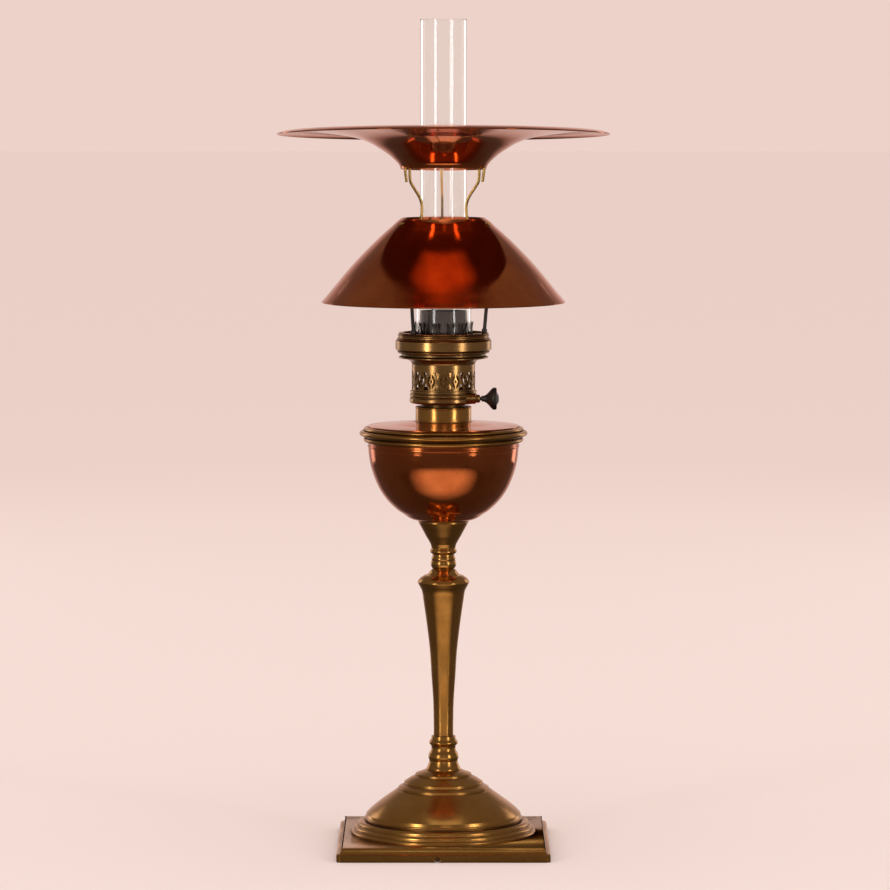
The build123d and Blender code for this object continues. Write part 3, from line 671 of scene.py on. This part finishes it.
def ribbon(bm, path, width, radius, middle_angle, middle_z, cells=14):
    """Flat strip along path(t) = (x, y), wrapped round the axis."""
    made = bmesh.ops.create_grid(bm, x_segments=cells, y_segments=1, size=0.5)["verts"]
    for vert in made:
        t = vert.co.x + 0.5
        here = Vector(path(t))
        ahead = (Vector(path(t + 0.002)) - Vector(path(t - 0.002))).normalized()
        side = vert.co.y * width
        vert.co = Vector((here.x - ahead.y * side, here.y + ahead.x * side, 0))
    wrap(bm, made, radius, middle_angle, middle_z)
    return made


def thicken(piece, thickness):
    """Gives a flat piece its wall, inwards, and bakes it into the mesh."""
    wall = piece.modifiers.new("wall", "SOLIDIFY")
    wall.thickness = thickness
    wall.offset = -1
    bake(piece)
    piece.data.set_sharp_from_angle(angle=math.radians(40))


def make_fret():
    """Pierced band: pointed leaves with a diamond in each, and crossings between them."""
    r, z, h = size_of("burner_fret")
    repeats = 16
    pitch = FULL_TURN / repeats
    low = 1.0 * MM
    high = 16.6 * MM
    middle = z + (low + high) / 2
    half = (high - low) / 2
    bm = bmesh.new()
    swing = 0.5 * pitch * r
    gap = 2.6 * MM
    knot = 2.2 * MM
    for index in range(repeats):
        angle = index * pitch
        for side in (-1, 1):
            ribbon(bm, lambda t, s=side: (s * 0.78 * swing * math.cos(math.pi * (t - 0.5)) ** 0.9
                                          if 0 < t < 1 else 0.0, (2 * t - 1) * half), 1.15 * MM, r, angle, middle)
            ribbon(bm, lambda t, s=side: (s * (t - 0.5) * 1.15 * swing, (2 * t - 1) * half),
                   0.85 * MM, r - 0.1 * MM, angle + pitch / 2, middle, cells=8)
            ribbon(bm, lambda t, s=side: (s * 1.5 * MM * (1 - abs(2 * t - 1)), (2 * t - 1) * 3.0 * MM),
                   1.0 * MM, r + 0.05 * MM, angle, middle, cells=8)
        ribbon(bm, lambda t: (0.0, gap + t * (half - gap)), 0.9 * MM, r - 0.05 * MM, angle, middle, cells=2)
        ribbon(bm, lambda t: (0.0, -gap - t * (half - gap)), 0.9 * MM, r - 0.05 * MM, angle, middle, cells=2)
        ribbon(bm, lambda t: ((t - 0.5) * knot, 0.0), knot, r - 0.1 * MM, angle + pitch / 2, middle, cells=2)
    lattice = bpy.data.meshes.new("fret_lattice")
    bmesh.ops.recalc_face_normals(bm, faces=bm.faces)
    for face in bm.faces:
        outward = Vector((face.calc_center_median().x, face.calc_center_median().y, 0))
        if face.normal.dot(outward) < 0:
            face.normal_flip()
        face.smooth = True
    bm.to_mesh(lattice)
    bm.free()
    piece = bpy.data.objects.new("burner_fret_lattice", lattice)
    bpy.context.scene.collection.objects.link(piece)
    lattice.materials.append(bronzed)
    thicken(piece, 0.8 * MM)
    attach(piece, "burner")
    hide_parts("burner_fret")
    wall = 0.9 * MM
    bands = (("fret_lower_band", z, z + low + 0.5 * MM), ("fret_upper_band", z + high - 0.5 * MM, z + h))
    for name, start, end in bands:
        bm = bmesh.new()
        spin_profile(bm, [(r - wall, start), (r, start), (r, end), (r - wall, end)], 128)
        round_corners(bm, 0.2 * MM)
        finish_piece(name, bm, bronzed, ["burner_fret"])


def make_burner():
    r, z, h = size_of("burner_neck")
    neck_bore = 14.8 * MM
    turned("burner_neck", [(neck_bore, z), (r, z), (r, z + h), (neck_bore, z + h)], segments=96)
    r, z, h = size_of("burner_base")
    inside = 24.9 * MM
    turned("burner_base", [
        (neck_bore, z), (r - 2.2 * MM, z), (r - 0.9 * MM, z + 0.4 * MM), (r - 0.1 * MM, z + 1.4 * MM),
        (r, z + 2.0 * MM), (r, z + 4.2 * MM), (r - 0.5 * MM, z + 4.8 * MM), (r - 1.2 * MM, z + 5.0 * MM),
        (r - 1.2 * MM, z + 5.6 * MM),
        [(r - 0.3 * MM, z + 6.2 * MM), (r - 0.15 * MM, z + 7.0 * MM), (r - 0.4 * MM, z + 7.9 * MM)],
        (r - 1.3 * MM, z + 8.3 * MM), (r - 1.3 * MM, z + 9.0 * MM),
        (r - 0.6 * MM, z + 9.4 * MM), (r - 0.6 * MM, z + h),
        (inside, z + h), (inside, z + 1.4 * MM), (neck_bore, z + 1.4 * MM)])
    r, z, h = size_of("burner_flange")
    fret = size_of("burner_fret")[0]
    turned("burner_flange", [
        (fret - 1.6 * MM, z), (fret, z), [(fret + 0.7 * MM, z + 1.6 * MM), (fret + 2.6 * MM, z + 3.2 * MM),
                                         (fret + 6.4 * MM, z + 4.5 * MM), (r - 1.2 * MM, z + 4.9 * MM)],
        (r - 0.2 * MM, z + 5.1 * MM), (r, z + 5.5 * MM), (r - 0.2 * MM, z + 6.1 * MM), (r - 1.9 * MM, z + 6.9 * MM),
        (r - 2.4 * MM, z + 7.2 * MM), (r - 2.4 * MM, z + h), (fret - 1.6 * MM, z + h)])
    r, z, h = size_of("burner_gallery")
    bore = 37.2 * MM
    bm = bmesh.new()
    spin_profile(bm, profile_points([
        (fret - 1.6 * MM, z), (r - 3.2 * MM, z), (r - 2.2 * MM, z + 0.3 * MM),
        [(r - 1.5 * MM, z + 1.3 * MM), (r - 2.2 * MM, z + 2.3 * MM)],
        (r - 0.9 * MM, z + 2.8 * MM), (r, z + 3.4 * MM), (r, z + 10.6 * MM), (r - 0.8 * MM, z + 11.3 * MM),
        (r - 1.7 * MM, z + 11.6 * MM), [(r - 1.2 * MM, z + 12.2 * MM), (r - 1.7 * MM, z + 12.9 * MM)],
        (r - 2.4 * MM, z + 13.2 * MM), (r - 2.4 * MM, z + h), (bore, z + h), (bore, z + 1.2 * MM),
        (fret - 1.6 * MM, z + 1.2 * MM)]), 144)
    round_corners(bm, 0.25 * MM)
    finish_piece("burner_gallery_turned", bm, bronzed, ["burner_gallery"])


def make_chimney_holder():
    """Seat ring with a crown of small forked springs that grip the glass."""
    low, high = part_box("chimney_holder")
    seat_r = high.x
    seat_top = high.z - 13 * MM
    glass_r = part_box("chimney")[1].x
    seat_bore = glass_r - 1.7 * MM
    bm = bmesh.new()
    spin_profile(bm, [(seat_bore, low.z), (seat_r, low.z), (seat_r, seat_top), (seat_bore, seat_top)], 96)
    round_corners(bm, 0.2 * MM)
    finish_piece("chimney_seat", bm, blackened, ["chimney_holder"])
    crown = bmesh.new()
    count = 12
    grip = glass_r + 0.95 * MM
    for index in range(count):
        angle = FULL_TURN * (index + 0.5) / count
        for side in (-1, 1):
            made = ribbon(crown, lambda t, s=side: (s * (0.9 + 1.9 * max(t, 0.0) ** 1.6) * MM, t * 12.6 * MM),
                          1.9 * MM, grip, angle, seat_top - 0.5 * MM, cells=12)
            for vert in made:
                t = (vert.co.z - seat_top + 0.5 * MM) / (12.6 * MM)
                flare = 0.9 * MM * max(0.0, t - 0.72) / 0.28 + 0.35 * MM * math.sin(math.pi * min(t, 1))
                out = Vector((vert.co.x, vert.co.y, 0)).normalized() * flare
                vert.co += out
    mesh = bpy.data.meshes.new("chimney_springs")
    for face in crown.faces:
        outward = Vector((face.calc_center_median().x, face.calc_center_median().y, 0))
        face.normal_update()
        if face.normal.dot(outward) < 0:
            face.normal_flip()
        face.smooth = True
    crown.to_mesh(mesh)
    crown.free()
    springs = bpy.data.objects.new("chimney_springs", mesh)
    bpy.context.scene.collection.objects.link(springs)
    mesh.materials.append(blackened)
    thicken(springs, 0.55 * MM)
    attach(springs, "burner")
    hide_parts("chimney_holder")


def spindle_frame():
    """Turns a shape made along Z into one along the wick spindle."""
    low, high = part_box("winder_spindle")
    middle = (low + high) / 2
    return Matrix.Translation((0, middle.y, middle.z)) @ Matrix.Rotation(math.pi / 2, 4, "Y")


def make_winder():
    low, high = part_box("winder_knob")
    r = (high.z - low.z) / 2
    start = low.x
    h = high.x - low.x
    bm = bmesh.new()
    spin_profile(bm, profile_points([
        (1.53 * MM, start), (2.3 * MM, start), (2.5 * MM, start + 0.4 * MM), (2.4 * MM, start + 1.6 * MM),
        [(0.34 * r, start + 0.24 * h), (0.56 * r, start + 0.4 * h), (0.8 * r, start + 0.53 * h),
         (0.95 * r, start + 0.63 * h)],
        (r, start + 0.68 * h), (r, start + 0.80 * h),
        [(0.93 * r, start + 0.86 * h), (0.8 * r, start + 0.88 * h), (0.66 * r, start + 0.87 * h)],
        [(0.5 * r, start + 0.91 * h), (0.28 * r, start + 0.985 * h), (0.05 * r, start + h)],
        (0.01 * MM, start + h), (0.01 * MM, start + 8.1 * MM), (1.53 * MM, start + 8.1 * MM)]), 96)
    rim = [v for v in bm.verts if math.hypot(v.co.x, v.co.y) > r - 0.02 * MM]
    for vert in rim:
        around = math.atan2(vert.co.y, vert.co.x)
        milled = 1 - 0.02 * (0.5 + 0.5 * math.cos(32 * around))
        vert.co.x *= milled
        vert.co.y *= milled
    round_corners(bm, 0.15 * MM)
    bmesh.ops.transform(bm, matrix=spindle_frame(), verts=bm.verts)
    finish_piece("winder_knob_turned", bm, blackened, ["winder_knob"])
    low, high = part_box("spindle_boss")
    r = (high.z - low.z) / 2
    bm = bmesh.new()
    spin_profile(bm, profile_points([
        (1.6 * MM, low.x), (r, low.x), (r, high.x - 4.2 * MM), (r - 0.5 * MM, high.x - 3.7 * MM),
        (r - 1.0 * MM, high.x - 3.5 * MM), (r - 0.9 * MM, high.x - 1.5 * MM),
        [(r - 1.3 * MM, high.x - 0.6 * MM), (2.2 * MM, high.x)], (1.6 * MM, high.x)]), 64)
    round_corners(bm, 0.2 * MM)
    bmesh.ops.transform(bm, matrix=spindle_frame(), verts=bm.verts)
    finish_piece("spindle_boss_turned", bm, bronzed, ["spindle_boss"])


# ---- Glass, carrier, shade and reflector -----------------------------------------------
def make_chimney():
    foot, z, h = size_of("chimney")
    r = 19.65 * MM
    wall = 1.8 * MM
    waist = [(foot, z + 25 * MM), (foot - 0.9 * MM, z + 29 * MM), (foot - 3.6 * MM, z + 34 * MM),
             (16.4 * MM, z + 39.5 * MM), (16.0 * MM, z + 43 * MM), (16.6 * MM, z + 48 * MM),
             (r - 1.5 * MM, z + 56 * MM), (r - 0.4 * MM, z + 63 * MM), (r, z + 70 * MM)]
    inner = beside(waist, -wall)
    top = z + h
    turned("chimney", [
        (foot, z), waist[0], waist[1:],
        (r, z + 90 * MM), (r, top - 60 * MM), (r, top - 3 * MM), (r, top - 0.6 * MM),
        [(r - 0.25 * MM, top - 0.12 * MM), (r - wall / 2, top), (r - wall + 0.25 * MM, top - 0.12 * MM)],
        (r - wall, top - 0.6 * MM), (r - wall, top - 3 * MM), (r - wall, top - 60 * MM), (r - wall, z + 90 * MM),
        inner[-1], inner[-2::-1], (foot - wall, z)], segments=128, corner=0, steps=6)


def wire(name, points, radius, material, node, angles, smooth_steps=5):
    """Round wire through (radius, height) points, repeated at each angle round the axis."""
    line = [Vector(points[0])] + curve_through(points, smooth_steps)
    curve = bpy.data.curves.new(name, "CURVE")
    curve.dimensions = "3D"
    curve.bevel_depth = radius
    curve.bevel_resolution = 6
    curve.use_fill_caps = True
    for angle in angles:
        turn_by = math.radians(angle)
        spline = curve.splines.new("POLY")
        spline.points.add(len(line) - 1)
        for point, here in zip(spline.points, line):
            point.co = (here.x * math.cos(turn_by), here.x * math.sin(turn_by), here.y, 1)
    holder = bpy.data.objects.new(name, curve)
    bpy.context.scene.collection.objects.link(holder)
    bpy.context.view_layer.update()
    mesh = bpy.data.meshes.new_from_object(holder)
    bpy.data.objects.remove(holder)
    bm = bmesh.new()
    bm.from_mesh(mesh)
    bpy.data.meshes.remove(mesh)
    return finish_piece(name, bm, material, [node])


def make_carrier():
    r, z, h = size_of("carrier_ring")
    bore = 34.0 * MM
    lip = 36.9 * MM
    seat = z + 3 * MM
    turned("carrier_ring", [
        (bore, z), (lip, z), (lip, seat), (r - 0.4 * MM, seat), (r, seat + 0.5 * MM),
        [(r, seat + 1.2 * MM), (r - 0.7 * MM, seat + 1.7 * MM)], (r - 0.9 * MM, seat + 2.0 * MM),
        [(r - 0.35 * MM, seat + 2.6 * MM), (r - 1.0 * MM, seat + 3.3 * MM)], (r - 1.6 * MM, z + h), (bore, z + h)])
    hoop_low, hoop_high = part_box("carrier_hoop")
    rod = 1.5 * MM
    hoop_r = hoop_high.x - rod
    hoop_z = (hoop_low.z + hoop_high.z) / 2
    angles = (345, 105, 225)
    foot_r = 35.5 * MM
    top = z + h
    # The rods, their feet and the hoop are brass but take the blackened finish: painted shade, standing for the
    # shadow they sit in under the lower shade.
    wire("carrier_rods_drawn", [(foot_r, top), (hoop_r, hoop_z)], rod, blackened,
         "carrier_rods", angles, smooth_steps=1)
    wire("carrier_rod_feet", [(foot_r, top), (foot_r + 0.26 * MM, top + 3.2 * MM)], 2.3 * MM, blackened,
         "carrier_rods", angles, smooth_steps=1)
    bm = bmesh.new()
    circle = [(hoop_r + rod * math.cos(a), hoop_z + rod * math.sin(a)) for a in
              (FULL_TURN * step / 16 for step in range(16))]
    spin_profile(bm, circle, 96)
    finish_piece("carrier_hoop_drawn", bm, blackened, ["carrier_hoop"])


HOOK_ANGLES = (333, 93, 213)
HOOK_WIRE = 1.2 * MM


def make_shade():
    r, z, h = size_of("lower_shade")
    rise = 70.8 * MM
    z = z + h - rise
    mouth = 35.1 * MM
    span = r - mouth
    outer = [(mouth, z + rise), (mouth + 0.035 * span, z + 0.978 * rise), (mouth + 0.078 * span, z + 0.942 * rise),
             (mouth + 0.125 * span, z + 0.90 * rise), (mouth + 0.183 * span, z + 0.852 * rise),
             (mouth + 0.308 * span, z + 0.742 * rise), (mouth + 0.45 * span, z + 0.607 * rise),
             (mouth + 0.588 * span, z + 0.47 * rise), (mouth + 0.71 * span, z + 0.335 * rise),
             (mouth + 0.824 * span, z + 0.201 * rise), (mouth + 0.90 * span, z + 0.112 * rise),
             (mouth + 0.955 * span, z + 0.05 * rise), (r, z)]
    inner = beside(outer, 0.8 * MM)
    shade = turned("lower_shade", [outer[0], outer[1:], inner[-1], inner[-2::-1]],
                   segments=192, corner=0.15 * MM, steps=4)
    hook_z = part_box("shade_hooks")[0].z + HOOK_WIRE
    holes = bmesh.new()
    for angle in HOOK_ANGLES:
        place = (Matrix.Rotation(math.radians(angle), 4, "Z") @ Matrix.Translation((mouth + 6 * MM, 0, hook_z))
                 @ Matrix.Rotation(math.pi / 2, 4, "Y"))
        bmesh.ops.create_cone(holes, cap_ends=True, segments=24, radius1=1.55 * MM, radius2=1.55 * MM,
                              depth=14 * MM, matrix=place)
    punch(shade, holes)


def make_hooks():
    low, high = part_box("shade_hooks")
    z = low.z + HOOK_WIRE
    top = high.z
    points = [(43.4 * MM, z), (34 * MM, z), (28.5 * MM, z + 0.2 * MM), (24.2 * MM, z + 2.4 * MM),
              (21.9 * MM, z + 6.8 * MM), (21.45 * MM, z + 12 * MM), (22.0 * MM, z + 17.4 * MM),
              (24.7 * MM, z + 23.3 * MM), (29.3 * MM, z + 29.6 * MM), (32.6 * MM, z + 34.6 * MM),
              (33.5 * MM, z + 39 * MM), (33.75 * MM, top - 4 * MM), (34.4 * MM, top - 2.0 * MM),
              (36.0 * MM, top - 1.25 * MM), (37.6 * MM, top - 2.0 * MM), (38.2 * MM, top - 4 * MM),
              (37.6 * MM, top - 9 * MM), (36.7 * MM, top - 14.4 * MM)]
    wire("shade_hook_wires", points, HOOK_WIRE, wire_brass, "shade_hooks", HOOK_ANGLES)


def make_reflector():
    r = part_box("reflector")[1].x
    neck = 36.0 * MM
    span = r - neck
    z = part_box("shade_hooks")[1].z - 4.4 * MM
    h = 32.0 * MM
    rim_z = z + 0.905 * h
    wall = 0.9 * MM
    outer = [(neck, z), (neck + 0.6 * MM, z + 0.07 * h), (neck + 0.018 * span, z + 0.14 * h),
             (neck + 0.05 * span, z + 0.25 * h), (neck + 0.10 * span, z + 0.39 * h),
             (neck + 0.176 * span, z + 0.555 * h), (neck + 0.235 * span, z + 0.67 * h),
             (neck + 0.305 * span, z + 0.77 * h), (neck + 0.37 * span, z + 0.833 * h),
             (neck + 0.45 * span, z + 0.885 * h), (neck + 0.54 * span, z + 0.927 * h),
             (neck + 0.62 * span, z + 0.957 * h), (neck + 0.71 * span, z + 0.985 * h),
             (neck + 0.79 * span, z + h), (neck + 0.86 * span, z + 0.997 * h),
             (neck + 0.93 * span, z + 0.975 * h), (neck + 0.975 * span, z + 0.94 * h), (r, rim_z)]
    inner = beside(outer, -wall)
    bm = bmesh.new()
    spin_profile(bm, profile_points([outer[0], outer[1:], inner[-1], inner[-2::-1]], 3), 224)
    round_corners(bm, 0.15 * MM, angle=50)
    pivot = Vector((0, 0, rim_z))
    tilt = math.radians(-3.0)
    bmesh.ops.rotate(bm, cent=pivot, matrix=Matrix.Rotation(tilt, 3, "X"), verts=bm.verts)
    reflector = finish_piece("reflector_spun", bm, copper, ["reflector"])
    slots = bmesh.new()
    slot_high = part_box("shade_hooks")[1].z + 0.2 * MM
    slot_low = z - 10 * MM
    for angle in HOOK_ANGLES:
        made = bmesh.ops.create_cube(slots, size=1)["verts"]
        bmesh.ops.scale(slots, vec=(16 * MM, 3.2 * MM, slot_high - slot_low), verts=made)
        bmesh.ops.translate(slots, vec=(neck, 0, (slot_high + slot_low) / 2), verts=made)
        bmesh.ops.rotate(slots, cent=ORIGIN, matrix=Matrix.Rotation(math.radians(angle), 3, "Z"), verts=made)
    punch(reflector, slots)


make_camera()
make_world()
make_floor()
make_table_card()
softbox("left_softbox", -40, 3.0, 0.75, 0.50, 2.0, 17)
softbox("right_softbox", 46, 3.0, 0.75, 0.34, 2.0, 15)
softbox("front_window", 4, 4.4, 1.55, 0.9, 0.7, 2.4, (1.0, 0.92, 0.86))
softbox("back_left_softbox", -140, 3.2, 0.7, 0.8, 2.0, 7, (1.0, 0.93, 0.9))
softbox("back_right_softbox", 140, 3.2, 0.7, 0.8, 2.0, 7, (1.0, 0.93, 0.9))
softbox("top_softbox", 10, 0.6, 3.2, 1.6, 1.6, 4)

finish_cad_nodes()
make_base_plate()
make_foot()
make_column()
make_bowl()
make_font()
make_fret()
make_burner()
make_chimney_holder()
make_winder()
make_chimney()
make_carrier()
make_shade()
make_hooks()
make_reflector()
